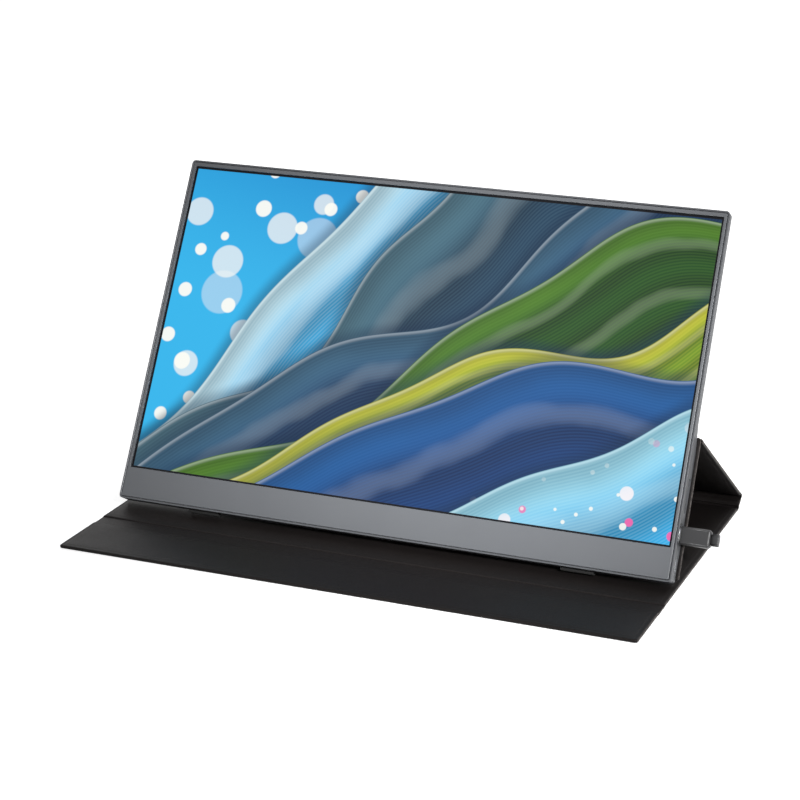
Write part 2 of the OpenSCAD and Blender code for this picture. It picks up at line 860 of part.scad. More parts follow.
spine_y0 = crease_r + roll_gap;
spine_y1 = spine_pitch - prop_roll_r - roll_gap;
module spine_leather() {
    in_spine() leather(spine_y0, spine_y1, spine_rim);
}

module spine_lining() {
    in_spine() lining(spine_y0, spine_y1);
}

module spine_board() {
    in_spine() board(spine_y0, spine_y1, spine_rim);
}

prop_y0 = prop_roll_r + roll_gap;
prop_y1 = prop_pitch - apex_roll_r - roll_gap;
module prop_leather() {
    in_prop() leather(prop_y0, prop_y1, rim_w);
}

module prop_lining() {
    in_prop() lining(prop_y0, prop_y1);
}

module prop_board() {
    in_prop() board(prop_y0, prop_y1, rim_w);
}

mount_y0 = apex_roll_r + roll_gap;
mount_y1 = apex_h - mount_rise;
module mount_leather() {
    in_mount() leather(mount_y0, mount_y1, rim_w, 0, cover_r);
}

module mount_lining() {
    in_mount() lining(mount_y0, mount_y1, 0, cover_r);
}

module mount_board() {
    in_mount() difference() {
        board(mount_y0, mount_y1, rim_w);
        mount_magnet_discs(cut);
    }
}

module mount_magnets() {
    color("silver") in_mount() mount_magnet_discs(0);
}

// over is how far the discs run past the board's faces
module mount_magnet_discs(over) {
    for (x = magnet_x) translate([x, apex_h - magnet_h, leather_z0 - over])
        cylinder(h = board_t + 2 * over, d = magnet_d);
}

module flap_crease_roll() {
    roll([flap_y, crease_r], crease_r);
}

module base_crease_roll() {
    roll(rear_crease, crease_r);
}

module prop_crease_roll() {
    roll(prop_crease, prop_roll_r);
}

module apex_crease_roll() {
    roll(apex_crease, apex_roll_r);
}

front_bezel();
bezel_tape();
lcd_cell();
mid_frame();
diffuser_sheets();
light_guide();
reflector_sheet();
led_bar();
panel_tray();
tcon_board();
panel_flex();
foam_pads();
main_board();
main_chips();
shield_can();
board_standoffs();
board_screws();
display_cable();
io_board();
io_cable();
usb_c_port_upper();
usb_c_port_lower();
mini_hdmi_port();
audio_jack();
power_switch();
rocker_switch();
speaker_left();
speaker_right();
keeper_plates();
rear_cover();
rubber_feet();
power_button();
menu_rocker();
plug_shell();
plug_body();
plug_relief();
base_leather();
base_lining();
base_board();
flap_leather();
flap_lining();
flap_board();
flap_magnets();
spine_leather();
spine_lining();
spine_board();
prop_leather();
prop_lining();
prop_board();
mount_leather();
mount_lining();
mount_board();
mount_magnets();
flap_crease_roll();
base_crease_roll();
prop_crease_roll();
apex_crease_roll();
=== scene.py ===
# %% [markdown]
# # A portable monitor standing in its folded leather cover
#
# The object is a thin display held by magnets on a black cover that folds into a wedge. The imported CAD
# model gives every rigid piece its place and size. This script adds what a photograph shows and a CAD
# solid doesn't: rounded edges, turned leather with a grain, a soft lining, satin metal and a lit screen.

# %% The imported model, and numpy for whole-array geometry
import json

import bmesh
import bpy
import numpy as np
from mathutils import Matrix, Vector

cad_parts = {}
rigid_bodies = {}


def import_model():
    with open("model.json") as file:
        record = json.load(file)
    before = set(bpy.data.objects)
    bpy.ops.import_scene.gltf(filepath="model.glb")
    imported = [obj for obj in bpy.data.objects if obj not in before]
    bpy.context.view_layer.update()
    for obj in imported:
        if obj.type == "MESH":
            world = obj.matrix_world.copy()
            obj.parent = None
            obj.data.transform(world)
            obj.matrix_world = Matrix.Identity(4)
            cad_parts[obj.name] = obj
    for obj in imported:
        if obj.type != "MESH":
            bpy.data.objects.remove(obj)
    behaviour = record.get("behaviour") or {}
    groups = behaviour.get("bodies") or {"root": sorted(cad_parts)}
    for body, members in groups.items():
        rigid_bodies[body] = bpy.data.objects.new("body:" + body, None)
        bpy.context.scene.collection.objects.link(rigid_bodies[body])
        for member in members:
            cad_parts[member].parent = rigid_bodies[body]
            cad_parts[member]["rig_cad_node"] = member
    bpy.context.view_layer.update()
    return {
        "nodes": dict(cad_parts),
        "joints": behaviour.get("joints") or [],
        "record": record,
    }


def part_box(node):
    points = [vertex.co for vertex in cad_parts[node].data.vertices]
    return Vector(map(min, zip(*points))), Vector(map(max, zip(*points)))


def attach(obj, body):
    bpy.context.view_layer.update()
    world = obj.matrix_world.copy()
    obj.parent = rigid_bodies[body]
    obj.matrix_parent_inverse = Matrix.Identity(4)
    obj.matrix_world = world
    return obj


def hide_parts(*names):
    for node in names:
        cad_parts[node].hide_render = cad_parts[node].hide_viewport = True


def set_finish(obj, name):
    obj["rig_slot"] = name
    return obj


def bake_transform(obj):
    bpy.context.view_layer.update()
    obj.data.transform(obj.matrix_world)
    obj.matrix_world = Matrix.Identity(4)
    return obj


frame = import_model()
nodes = frame["nodes"]
joints = {j["name"]: j for j in frame["joints"]}
mm = 0.001

# %% [markdown]
# ## Where things are
#
# The screen leans back, so its own directions are easier to work in than the room's. The joint that pulls
# the monitor off its magnets moves along the screen's normal, and that gives the tilt. Folds of the cover
# are hinges, so each crease's place comes from its joint.

# %% The case's own directions
x_dir = np.array([1.0, 0, 0])
front_dir = np.array(joints["monitor_release"]["axis"], float)
up_dir = np.cross(front_dir, x_dir)


def vertices(obj):
    """All vertices of a mesh as an (n, 3) array."""
    flat = np.zeros(len(obj.data.vertices) * 3)
    obj.data.vertices.foreach_get("co", flat)
    return flat.reshape(-1, 3)


shell_points = vertices(nodes["rear_cover"])
case_origin = up_dir * (shell_points @ up_dir).min() + front_dir * (shell_points @ front_dir).max()
case_w = np.ptp(shell_points[:, 0])
case_h = np.ptp(shell_points @ up_dir)
case_t = np.ptp(shell_points @ front_dir)
print("case", (np.array([case_w, case_h, case_t]) / mm).round(1), "mm")


def in_case(x, up, out):
    """Points from case coordinates: x across, up along the screen from its lower edge, out of its front."""
    x, up, out = np.broadcast_arrays(x, up, out)
    return case_origin + x[..., None] * x_dir + up[..., None] * up_dir + out[..., None] * front_dir


# %% Creases and the panels between them
def crease(name):
    return np.array(joints[name]["pos_m"], float)


flap_axis, rear_axis = crease("flap_crease"), crease("spine_crease")
prop_axis, apex_axis = crease("prop_crease"), crease("apex_crease")


def towards(a, b):
    return (b - a) / np.linalg.norm(b - a)


base_dir = np.array([0, 1.0, 0])
spine_dir, prop_dir = towards(rear_axis, prop_axis), towards(prop_axis, apex_axis)
mount_dir = -up_dir


class Panel:
    """A flat stretch of the cover: points are given as x, along and out of its leather side."""

    def __init__(self, start, along):
        self.start, self.along = start, along
        self.out = np.cross(x_dir, along)

    def __call__(self, x, along, out):
        x, along, out = np.broadcast_arrays(x, along, out)
        return self.start + x[..., None] * x_dir + along[..., None] * self.along + out[..., None] * self.out

    def span(self, node):
        """Lowest and highest (along, out) of a CAD node in this panel's directions."""
        points = vertices(nodes[node]) - self.start
        local = np.stack([points @ self.along, points @ self.out], -1)
        return local.min(0), local.max(0)


base = Panel(np.array([0, 0, rear_axis[2]]), base_dir)
spine, prop = Panel(rear_axis, spine_dir), Panel(prop_axis, prop_dir)
mount = Panel(apex_axis, mount_dir)
for label, panel, node in (("spine", spine, "spine_leather"), ("prop", prop, "prop_leather"),
                           ("mount", mount, "mount_leather"), ("base", base, "base_leather")):
    print(label, (np.array(panel.span(node)) / mm).round(2).tolist())

# %% [markdown]
# ## Meshes from whole arrays
#
# Every new piece here is a grid: a closed profile carried along a line. Numpy works out all the points at
# once, and one call puts them into the mesh. The ends of the line are closed with one face each.

# %% Turning a grid of points into a mesh
weld_gap = 0.0001 * mm


def mesh_from_grid(name, grid, closed=False, smooth_angle=40):
    """A grid (stations, profile, 3) as a tube: the profile is closed, the stations too if closed is set.

    Face (i, j) joins the points i, i+1 and j, j+1, and the two end profiles become faces of their own.
    """
    stations, around = grid.shape[:2]
    index = np.arange(stations * around).reshape(stations, around)
    rows = index if closed else index[:-1]
    after = np.roll(index, -1, 0) if closed else index[1:]
    quads = np.stack([rows, np.roll(rows, -1, 1), np.roll(after, -1, 1), after], -1).reshape(-1, 4)
    faces = quads.tolist()
    if not closed:
        faces += [index[0][::-1].tolist(), index[-1].tolist()]
    mesh = bpy.data.meshes.new(name)
    mesh.from_pydata(grid.reshape(-1, 3).tolist(), [], faces)
    settle(mesh, smooth_angle)
    obj = bpy.data.objects.new(name, mesh)
    bpy.context.scene.collection.objects.link(obj)
    print(name, len(mesh.polygons), "faces")
    return obj


def settle(mesh, smooth_angle):
    """Merges doubled points, turns the faces outwards and smooths all but the sharp edges."""
    work = bmesh.new()
    work.from_mesh(mesh)
    bmesh.ops.remove_doubles(work, verts=work.verts, dist=weld_gap)
    bmesh.ops.dissolve_degenerate(work, edges=work.edges, dist=weld_gap)
    bmesh.ops.recalc_face_normals(work, faces=work.faces)
    work.to_mesh(mesh)
    work.free()
    mesh.polygons.foreach_set("use_smooth", np.ones(len(mesh.polygons), bool))
    mesh.set_sharp_from_angle(angle=np.radians(smooth_angle))


# %% Rounds, smooth steps and spacings
def corner_cut(radius, inset):
    """How far a round corner of that radius stands back, at a distance inset from the end."""
    reach = np.clip(radius - inset, 0, radius)
    return radius - np.sqrt(np.maximum(radius**2 - reach**2, 0))


def smooth(t):
    t = np.clip(t, 0, 1)
    return t * t * (3 - 2 * t)


def spaced(length, steps, inner):
    """Positions from 0 to length: the steps in from both ends, with even positions between them."""
    steps = np.unique(np.round(steps, 7))
    middle = np.linspace(steps[-1], length - steps[-1], inner + 2)[1:-1]
    return np.concatenate([steps, middle, length - steps[::-1]])


quarter = 1 - np.cos(np.radians(np.linspace(0, 90, 6)))
print("a quarter round closes in by", quarter.round(3).tolist())

# %% [markdown]
# ## The leather panels
#
# A folding cover is a sandwich: thin synthetic leather, turned round a stiff board, and a soft lining glued
# inside. So each panel gets rounded edges, a narrow hem where there is no board, and a slightly higher field
# over the board. Each is one grid: the profile runs across the panel and is carried along its width.

# %% A slab with rounded edges, a hem and round corners
hem_rise = np.array([0.88, 1, 1.12, 1.24])     # where the leather rises over the board, in hem widths


def slab_grid(panel, width, y0, y1, low, high, round_r, corners=(0, 0), hem=0.0, drop=0.0):
    """The closed profile of a slab, carried along its width.

    Within round_r of an edge both faces close in by a quarter circle. The upper face is lower by drop
    within hem of an edge, and rises smoothly to the field. A corner radius moves the end y0 or y1 back
    near the sides, by radius - sqrt(radius^2 - (radius - inset)^2).
    """
    steps = round_r * quarter
    if hem:
        steps = np.concatenate([steps, hem * hem_rise])
    sides = np.concatenate([steps, np.linspace(0, max(corners), 9)]) if max(corners) else steps
    across = spaced(y1 - y0, steps, inner=8)
    along = spaced(width, sides, inner=20)
    inset = np.minimum(along, width - along)
    start = y0 + corner_cut(corners[0], inset)
    end = y1 - corner_cut(corners[1], inset)
    y = start[:, None] + across / (y1 - y0) * (end - start)[:, None]
    edge = np.minimum(np.minimum(across, across[::-1])[None], inset[:, None])
    close = corner_cut(round_r, edge)
    field = smooth((edge / hem - hem_rise[0]) / np.ptp(hem_rise)) if hem else 1
    x = (along - width / 2)[:, None]
    upper = panel(x, y, high - close - drop * (1 - field))
    lower = panel(x, y, low + close)
    return np.concatenate([upper, lower[:, ::-1]], axis=1)


# %% The layers of the cover
cover_w = np.ptp(vertices(nodes["base_leather"])[:, 0])
cover_t = 2 * rear_axis[2]
groove_w = 10 * mm
cover_r = 2 * mm
leather_edge = 0.95 * mm
lining_inset = 1.6 * mm
lining_step = 0.12 * mm
lining_t = 0.4 * mm
sheet_edge = 0.1 * mm
hem_drop = 0.16 * mm
print("cover", round(cover_w / mm, 1), "mm wide,", round(cover_t / mm, 1), "mm thick")


# %% Leather and lining of the five panels
def cover_panel(body, panel, hem, corners=(0, 0), start=None):
    """Leather slab and lining sheet of one panel, between the ends of its CAD leather."""
    (y0, _), (y1, high) = panel.span(body + "_leather")
    low = panel.span(body + "_lining")[0][1]
    y0 = y0 if start is None else start
    leather = mesh_from_grid(body + "_panel", slab_grid(
        panel, cover_w, y0, y1, low + lining_step, high, leather_edge, corners, hem, hem_drop))
    sheet_corners = tuple(max(r - lining_inset, 0) for r in corners)
    sheet = mesh_from_grid(body + "_soft_side", slab_grid(
        panel, cover_w - 2 * lining_inset, y0 + lining_inset, y1 - lining_inset, low, low + lining_t,
        sheet_edge, sheet_corners))
    for piece, slot, parts in ((leather, "cover_leather", ("leather", "board")),
                               (sheet, "cover_lining", ("lining",))):
        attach(piece, body)
        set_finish(piece, slot)
        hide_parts(*[body + "_" + part for part in parts])


wide_hem, narrow_hem = 3 * mm, 1.35 * mm
cover_panel("base", base, wide_hem, start=flap_axis[1] + groove_w)
cover_panel("flap", base, wide_hem, (cover_r, 0))
cover_panel("spine", spine, narrow_hem)
cover_panel("prop", prop, wide_hem)
cover_panel("mount", mount, wide_hem, (0, cover_r))

# %% [markdown]
# ## The creases
#
# Between two boards the cover is only leather and lining, so it bends there. Each crease is a strip that
# leaves one panel's edge, goes round the hinge line and enters the next panel.

# %% The path round a hinge line
clear = 0.3 * mm
step_angle = 7


def crease_path(axis, dir_a, depth_a, dir_b, depth_b, reach_a, reach_b):
    """Points and outward directions along the outside of a fold.

    Straight at depth_a along dir_a up to the axis, round it while the outward direction turns from that
    of one panel to that of the other and the depth passes smoothly from depth_a to depth_b, and straight
    along dir_b.
    """
    out_a, out_b = -np.cross(x_dir, dir_a), -np.cross(x_dir, dir_b)
    turn = np.arccos(np.clip(out_a @ out_b, -1, 1))
    t = np.linspace(0, 1, max(int(np.degrees(turn) / step_angle), 1) + 1)[:, None]
    around = out_a * np.cos(turn * t) + dir_a * np.sin(turn * t)
    depth = depth_a + (depth_b - depth_a) * smooth(t)
    before = -reach_a * np.linspace(1, 0.1, 6)[:, None]
    after = reach_b * np.linspace(0.1, 1, 6)[:, None]
    points = np.concatenate([before * dir_a, 0 * around, after * dir_b]) + axis
    outward = np.concatenate([out_a + 0 * before, around, out_b + 0 * after])
    depths = np.concatenate([depth_a + 0 * before, depth, depth_b + 0 * after])
    bend = axis - dir_a * (depth_a + clear), axis + dir_b * (depth_b + clear)
    return points, outward, depths, bend


# %% A strip along that path
strip_edge = 0.15 * mm


def crease_strip(name, path, width, skin, thickness, slot, replaced):
    """One layer of the fold, from skin to skin + thickness inside the path, across the whole width."""
    points, outward, depths, (bend_from, bend_to) = path
    along = spaced(width, strip_edge * quarter, inner=40)
    close = corner_cut(strip_edge, np.minimum(along, width - along))[:, None, None]
    x = (along - width / 2)[:, None, None] * x_dir
    outer = points + (depths - skin - close) * outward + x
    inner = points + (depths - skin - thickness + close) * outward + x
    piece = mesh_from_grid(name, np.concatenate([outer, inner[:, ::-1]], axis=1))
    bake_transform(piece)
    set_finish(piece, slot)
    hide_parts(replaced)


def crease_pair(name, path, leather_t, roll):
    """The leather of a fold, and the lining on it, from the two panels to each other."""
    crease_strip(name + "_fold", path, cover_w, lining_t, leather_t, "cover_leather",
                 roll)
    crease_strip(name + "_fold_lining", path, cover_w - 2 * lining_inset, 0, lining_t,
                 "cover_lining", roll)


# %% The four creases
half_t = cover_t / 2
prop_box, apex_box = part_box("prop_crease_roll"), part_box("apex_crease_roll")
prop_r = (prop_box[1][2] - prop_box[0][2]) / 2
apex_r = (apex_box[1][2] - apex_box[0][2]) / 2
tuck = 1.6 * mm
thin_leather, groove_leather = 0.6 * mm, 1.0 * mm


def reach(depth):
    """How far a strip runs on from its hinge line: past the bend, and a little into the panel."""
    return depth + clear + tuck


crease_pair("rear", crease_path(rear_axis, base_dir, half_t, spine_dir, half_t, reach(half_t), reach(half_t)),
            thin_leather, "base_crease_roll")
crease_pair("prop", crease_path(prop_axis, spine_dir, half_t, prop_dir, prop_r, reach(prop_r), reach(prop_r)),
            thin_leather, "prop_crease_roll")
crease_pair("apex", crease_path(apex_axis, prop_dir, prop_r, mount_dir, apex_r, reach(apex_r), reach(apex_r)),
            thin_leather, "apex_crease_roll")
crease_pair("groove", crease_path(flap_axis, base_dir, half_t, base_dir, half_t, reach(half_t),
                                  groove_w + tuck), groove_leather, "flap_crease_roll")

# %% [markdown]
# ## The bezel
#
# The grey front is one thin frame laid into the shell. Its section is carried once round the window: every
# station of the path has a point on the outer outline and one on the window's edge, at the same angle of
# the corner, so the corners stay clean and both edges get a small round that catches the light.

# %% The size of the screen, and rounded outlines
active_w, active_h = 344.2 * mm, 193.6 * mm
chin_h = 20.9 * mm
black_border = 1.3 * mm
case_r = 2.2 * mm
rim_w = 1.35 * mm


def case_box(node):
    """Lowest and highest (x, up, out) of a CAD node in the case's own directions."""
    points = vertices(nodes[node]) - case_origin
    local = np.stack([points @ x_dir, points @ up_dir, points @ front_dir], -1)
    return local.min(0), local.max(0)


def outline(half_w, up0, up1, radius, per_corner=8):
    """Corner centres and outward directions along a rounded rectangle, anticlockwise from the right."""
    angles = np.radians(np.linspace(0, 90, per_corner + 1))
    corners = [(1, 1, 0), (-1, 1, 90), (-1, -1, 180), (1, -1, 270)]
    centres, outward = [], []
    for side, end, turn in corners:
        centre = (side * (half_w - radius), up1 - radius if end > 0 else up0 + radius)
        a = angles + np.radians(turn)
        centres.append(np.broadcast_to(centre, (len(a), 2)))
        outward.append(np.stack([np.cos(a), np.sin(a)], -1))
    return np.concatenate(centres), np.concatenate(outward)


# %% The bezel as one ring
def ring_piece(name, section, stations):
    """A closed section carried round: each of its points is an outline, a distance and a depth."""
    rows = []
    for (centres, outward, radius), away, out in section:
        flat = centres + (radius + away) * outward
        rows.append(in_case(flat[:, 0], flat[:, 1], np.full(stations, out)))
    return mesh_from_grid(name, np.stack(rows, 1), closed=True)


bezel_low, bezel_high = case_box("front_bezel")
bezel_r, window_r = case_r - rim_w, 0.6 * mm
outer = (*outline(bezel_high[0], bezel_low[1], bezel_high[1], bezel_r), bezel_r)
window = (*outline(active_w / 2 + black_border, chin_h - black_border, chin_h + active_h + black_border,
                   window_r), window_r)
outer_round, window_round = 0.35 * mm, 0.25 * mm
rises = np.sqrt(1 - (1 - quarter) ** 2)
section = [(outer, 0, bezel_low[2])]
section += [(outer, -outer_round * q, -outer_round * (1 - s)) for q, s in zip(quarter, rises)]
section += [(window, window_round * q, -window_round * (1 - s)) for q, s in zip(quarter, rises)][::-1]
section += [(window, 0, bezel_low[2])]
bezel = ring_piece("bezel", section, len(outer[0]))
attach(bezel, "monitor")
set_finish(bezel, "bezel_grey")
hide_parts("front_bezel")

# %% [markdown]
# ## Moulded and folded edges
#
# No real edge is perfectly sharp, and an edge without a round never catches the light. The rigid nodes have
# the right shape already, so each of these pieces starts as a merged copy of its node's mesh. The chosen
# edges are then bevelled, and everything else stays where the CAD put it.

# %% A copy of a node with some edges rounded
cad_weld_gap = 0.001 * mm
flat_angle, sharp_angle = np.radians([0.8, 28])


def rounded_copy(name, node, width, segments, chosen, body, slot_name):
    """Copies a node's mesh, joins its loose triangles and bevels the sharp edges that chosen() keeps."""
    mesh = nodes[node].data.copy()
    work = bmesh.new()
    work.from_mesh(mesh)
    bmesh.ops.remove_doubles(work, verts=work.verts, dist=cad_weld_gap)
    bmesh.ops.dissolve_limit(work, angle_limit=flat_angle, verts=work.verts, edges=work.edges)
    edges = [e for e in work.edges if len(e.link_faces) == 2
             and e.calc_face_angle(0) > sharp_angle and chosen(e)]
    bmesh.ops.bevel(work, geom=edges, offset=width, segments=segments, profile=0.5, affect="EDGES",
                    clamp_overlap=True)
    bmesh.ops.triangulate(work, faces=[f for f in work.faces if len(f.verts) > 4])
    work.to_mesh(mesh)
    work.free()
    settle(mesh, smooth_angle=35)
    mesh.materials.clear()
    piece = bpy.data.objects.new(name, mesh)
    bpy.context.scene.collection.objects.link(piece)
    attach(piece, body)
    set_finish(piece, slot_name)
    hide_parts(node)
    print(name, len(edges), "edges rounded,", len(mesh.polygons), "faces")


# %% The shell
def case_place(vert):
    """(x, up, out) of a mesh vertex in the case's own directions."""
    p = np.array(vert.co) - case_origin
    return p @ x_dir, p @ up_dir, p @ front_dir


thin_back = -5.8 * mm
low_back = -9.1 * mm
bulge_h = 75 * mm
back_bevel = 1.3 * mm
near = 0.02 * mm
half_case = np.array([case_w, case_h]) / 2


def on_side(x, up):
    """True where a point lies on the case's outer outline."""
    from_middle = np.abs([x, up - case_h / 2])
    round_part = np.maximum(from_middle - half_case + case_r, 0)
    return abs(np.hypot(*round_part) - case_r) < near or max(from_middle - half_case) > -near


def shell_edge(edge):
    """The rim in front and the long edges at the back, but none of the openings."""
    places = [case_place(v) for v in edge.verts]
    if all(out > -near and on_side(x, up) for x, up, out in places):
        return True
    return all(on_side(x, up) and out < (low_back if up < bulge_h else thin_back + back_bevel)
               for x, up, out in places)


rounded_copy("shell", "rear_cover", 0.3 * mm, 2, shell_edge, "monitor", "shell_grey")

# %% Controls, feet and plug
def long_edge(shortest):
    return lambda edge: edge.calc_length() > shortest


rounded_copy("menu_key", "menu_rocker", 0.25 * mm, 2, long_edge(1 * mm), "menu_rocker", "moulding_black")
rounded_copy("power_key", "power_button", 0.2 * mm, 2, long_edge(1 * mm), "power_button", "button_grey")
rounded_copy("foot_strips", "rubber_feet", 0.35 * mm, 3, long_edge(1.5 * mm), "monitor", "foot_rubber")


def end_edge(x):
    """Edges that lie in a plane across the plug at x."""
    return lambda edge: all(abs(v.co.x - x) < near for v in edge.verts)


plug_low, relief_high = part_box("plug_body")[0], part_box("plug_relief")[1]
rounded_copy("plug_grip", "plug_body", 0.35 * mm, 3, end_edge(plug_low.x), "plug", "plug_grey")
rounded_copy("plug_stub", "plug_relief", 0.4 * mm, 3, end_edge(relief_high.x), "plug", "plug_grey")

# %% [markdown]
# ## Shader maths in plain Python
#
# A material is a graph of nodes. Wrapping a socket in a small class lets an expression such as
# `1 - mask * 0.5` add its Math nodes by itself, so a pattern reads as a formula. Every other node comes
# from one method, which sets the node's own settings first and its sockets after.

# %% A socket with operators
class Wire:
    """A node's output. Arithmetic on it adds Math nodes to its material."""

    def __init__(self, finish, socket):
        self.finish, self.socket = finish, socket

    def math(self, operation, *others):
        return self.finish.node("ShaderNodeMath", {"operation": operation}, [self, *others])

    def __add__(self, other):
        return self.math("ADD", other)

    def __sub__(self, other):
        return self.math("SUBTRACT", other)

    def __mul__(self, other):
        return self.math("MULTIPLY", other)

    def __truediv__(self, other):
        return self.math("DIVIDE", other)

    def __rsub__(self, other):
        return self.finish.node("ShaderNodeMath", {"operation": "SUBTRACT"}, [other, self])

    __radd__, __rmul__ = __add__, __mul__

    def above(self, level, soft=0.0):
        """0 below the level and 1 above it, with a soft step of that width."""
        if not soft:
            return self.math("GREATER_THAN", level)
        settings = {"interpolation_type": "SMOOTHSTEP"}
        return self.finish.node("ShaderNodeMapRange", settings, [self, level - soft / 2, level + soft / 2])


# %% A node tree, and the nodes that the finishes use
class Graph:
    """Nodes are added by their type. The common ones have a method of their own."""

    def __init__(self, tree):
        self.tree = tree

    def node(self, kind, settings=None, inputs=(), output=0):
        """Adds a node: its settings first, then its sockets by number or name, from values or wires."""
        node = self.tree.nodes.new(kind)
        for setting, value in (settings or {}).items():
            if setting == "stops":
                self.set_stops(node.color_ramp, value)
            else:
                setattr(node, setting, value)
        pairs = inputs.items() if isinstance(inputs, dict) else enumerate(inputs)
        for key, value in pairs:
            if isinstance(value, Wire):
                self.tree.links.new(value.socket, node.inputs[key])
            elif value is not None:
                node.inputs[key].default_value = value
        return Wire(self, node.outputs[output])

    def set_stops(self, ramp, stops):
        while len(ramp.elements) < len(stops):
            ramp.elements.new(0.5)
        for element, (position, colour) in zip(ramp.elements, stops):
            element.position, element.color = position, (*colour, 1)

    def place(self):
        return self.node("ShaderNodeTexCoord", output="Object")

    def vector(self, operation, *inputs, output=0):
        """A Vector Math node. The last of four inputs is Scale."""
        return self.node("ShaderNodeVectorMath", {"operation": operation}, list(inputs), output)

    def noise(self, where, scale, detail=3.0, roughness=0.5):
        return self.node("ShaderNodeTexNoise", {}, {"Vector": where, "Scale": scale, "Detail": detail,
                                                    "Roughness": roughness})

    def mix(self, factor, a, b):
        """Colour a where the factor is 0 and b where it is 1."""
        a, b = (c if isinstance(c, Wire) else (*c, 1) for c in (a, b))
        return self.node("ShaderNodeMix", {"data_type": "RGBA"}, {0: factor, 6: a, 7: b}, 2)

    def bump(self, height, distance, strength=1.0, after=None):
        return self.node("ShaderNodeBump", {}, {"Height": height, "Distance": distance,
                                                "Strength": strength, "Normal": after})

    def seen(self):
        """1 for the rays that show a background: the camera's, and those that metal and glass send on."""
        kinds = ("Is Camera Ray", "Is Glossy Ray", "Is Transmission Ray")
        camera_ray, glossy_ray, clear_ray = (self.node("ShaderNodeLightPath", output=kind) for kind in kinds)
        return (camera_ray + glossy_ray + clear_ray).math("MINIMUM", 1.0)


# %% A material made of such nodes
class Finish(Graph):
    """A node material with one Principled shader."""

    def __init__(self, name, **constants):
        self.material = bpy.data.materials.new(name)
        self.material.use_nodes = True
        super().__init__(self.material.node_tree)
        self.shader = self.tree.nodes["Principled BSDF"]
        for socket, value in constants.items():
            self.shader.inputs[socket.replace("_", " ")].default_value = value

    def set(self, **wires):
        for socket, wire in wires.items():
            self.tree.links.new(wire.socket, self.shader.inputs[socket.replace("_", " ")])
        return self


def dress(finish, piece):
    """Gives a piece one finish instead of the material it has."""
    piece.data.materials.clear()
    piece.data.materials.append(finish.material)


# %% [markdown]
# ## Leather and lining
#
# Synthetic leather has an embossed pebble grain about half a millimetre across: the distance to the nearest
# Voronoi cell edge is the valley between two pebbles. The valleys are a little darker and rougher, and
# broad soft noise gives the slight unevenness of a pressed sheet. The outermost edges at both sides of the
# cover are painted paler, a painted highlight of the rounded edges catching light. The lining is a brushed
# microfibre, so it gets fine fibres and a sheen.

# %% Black grained leather
def wobble(finish, place, scale, amount):
    """The place moved by up to about the amount in each direction, by a smooth noise of that scale."""
    colour = finish.node("ShaderNodeTexNoise", {}, {"Vector": place, "Scale": scale}, "Color")
    shift = finish.vector("SUBTRACT", colour, (0.5, 0.5, 0.5))
    return finish.vector("ADD", place, finish.vector("SCALE", shift, None, None, 2 * amount))


def leather_finish():
    """Pebbles 0.55 mm across: the height rises from each Voronoi cell's border to its middle.

    The outermost third of a millimetre at both sides is painted a paler grey, here and there: a painted
    highlight where the rounded side edges catch light.
    """
    finish = Finish("black_leather", IOR=1.46, Specular_IOR_Level=0.16)
    place = finish.place()
    cells = finish.node("ShaderNodeTexVoronoi", {"feature": "DISTANCE_TO_EDGE"},
                        {"Vector": wobble(finish, place, 700, 0.25 * mm), "Scale": 1800.0})
    pebble = cells.above(0.11, 0.22)
    broad = finish.noise(place, 45, 4)
    fine = finish.noise(place, 6000, 2)
    height = pebble * 0.8 + fine * 0.2
    # The paler grey along both side edges is a painted highlight of the rounded leather edges catching light;
    # a noise breaks it into patches.
    valley, crown, edge_highlight_grey = (0.0045, 0.0036, 0.0034), (0.0125, 0.0102, 0.0098), (0.105, 0.092, 0.086)
    from_middle = finish.vector("DOT_PRODUCT", place, tuple(x_dir), output="Value").math("ABSOLUTE")
    highlight_patches = finish.noise(place, 900, 2).above(0.5, 0.16) * 0.7 + 0.3
    painted_edge_highlight = from_middle.above(cover_w / 2 - 0.3 * mm, 0.25 * mm) * highlight_patches
    skin = finish.mix(pebble * 0.75 + broad * 0.25, valley, crown)
    finish.set(
        Base_Color=finish.mix(painted_edge_highlight, skin, edge_highlight_grey),
        Roughness=0.62 - pebble * 0.12 + (broad - 0.5) * 0.1,
        Normal=finish.bump(height, 0.035 * mm, 0.6, finish.bump(broad, 0.25 * mm, 0.25)))
    return finish


# %% Brushed microfibre
def lining_finish():
    """Short fibres that lie mostly one way, so the noise is stretched along x."""
    finish = Finish("black_microfibre", Specular_IOR_Level=0.06, Sheen_Weight=0.02, Sheen_Roughness=0.5)
    place = finish.place()
    strokes = finish.vector("MULTIPLY", wobble(finish, place, 300, 0.6 * mm), (0.25, 1.0, 1.0))
    fibre = finish.noise(strokes, 5200, 3, 0.65)
    nap = finish.noise(place, 28, 3)
    finish.set(
        Base_Color=finish.mix(fibre * 0.6 + nap * 0.4, (0.004, 0.0034, 0.0034), (0.014, 0.012, 0.012)),
        Roughness=0.82 + fibre * 0.16,
        Normal=finish.bump(fibre, 0.05 * mm, 0.5))
    return finish


# %% [markdown]
# ## Metal, plastic, rubber and what is inside
#
# The case has a blasted and anodised surface: nearly flat, with a grain far finer than a pixel, which is
# what makes its shine soft. Moulded plastic has a coarser spark grain, rolled steel has fine lines along
# one direction, and a circuit board has copper tracks under its green lacquer.

# %% One recipe for blasted metal and grained plastic
def grained_finish(name, dark, light, roughness, metallic=0.0, grain=2500.0, depth=0.012, wear=40.0):
    """Two noises: a fine grain for the bump and a broad one that shifts colour and roughness a little."""
    finish = Finish(name, Metallic=metallic)
    place = finish.place()
    fine = finish.noise(place, grain, 2, 0.6)
    broad = finish.noise(place, wear, 3)
    finish.set(
        Base_Color=finish.mix(broad * 0.6 + fine * 0.4, dark, light),
        Roughness=roughness + (fine - 0.5) * 0.12 + (broad - 0.5) * 0.06,
        Normal=finish.bump(fine, depth * mm, 0.5))
    return finish


